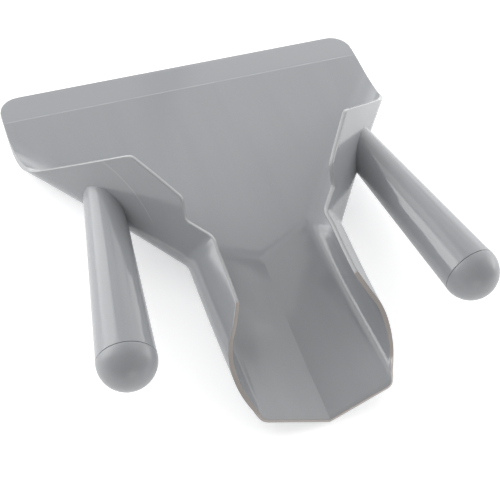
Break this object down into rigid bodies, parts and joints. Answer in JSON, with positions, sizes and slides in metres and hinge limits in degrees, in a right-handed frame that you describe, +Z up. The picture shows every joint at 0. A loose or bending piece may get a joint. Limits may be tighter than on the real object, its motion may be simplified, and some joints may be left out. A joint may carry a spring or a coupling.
{
  "type": "two handled chip scoop",
  "caption": "Two-handled scoop for bagging chips: a wide shallow fan that narrows into a walled channel, with a tapered round handle and domed end cap on each side.",
  "frame": {"origin": "on the surface the scoop rests on, below the middle of its length and width", "axes": "+X to the user's right, +Y towards the scooping edge, +Z up"},
  "size_m": [0.2184, 0.2478, 0.0552],
  "materials": {
    "grey_plastic": "satin, semi-gloss as moulded",
    "steel": "bright"
  },
  "bodies": {
    "root": {"scoop_body": "grey_plastic", "handle_left": "grey_plastic", "end_cap_left": "grey_plastic", "screw_washer_left": "steel", "handle_screw_left": "steel", "handle_right": "grey_plastic", "end_cap_right": "grey_plastic", "screw_washer_right": "steel", "handle_screw_right": "steel"}
  },
  "joints": []
}
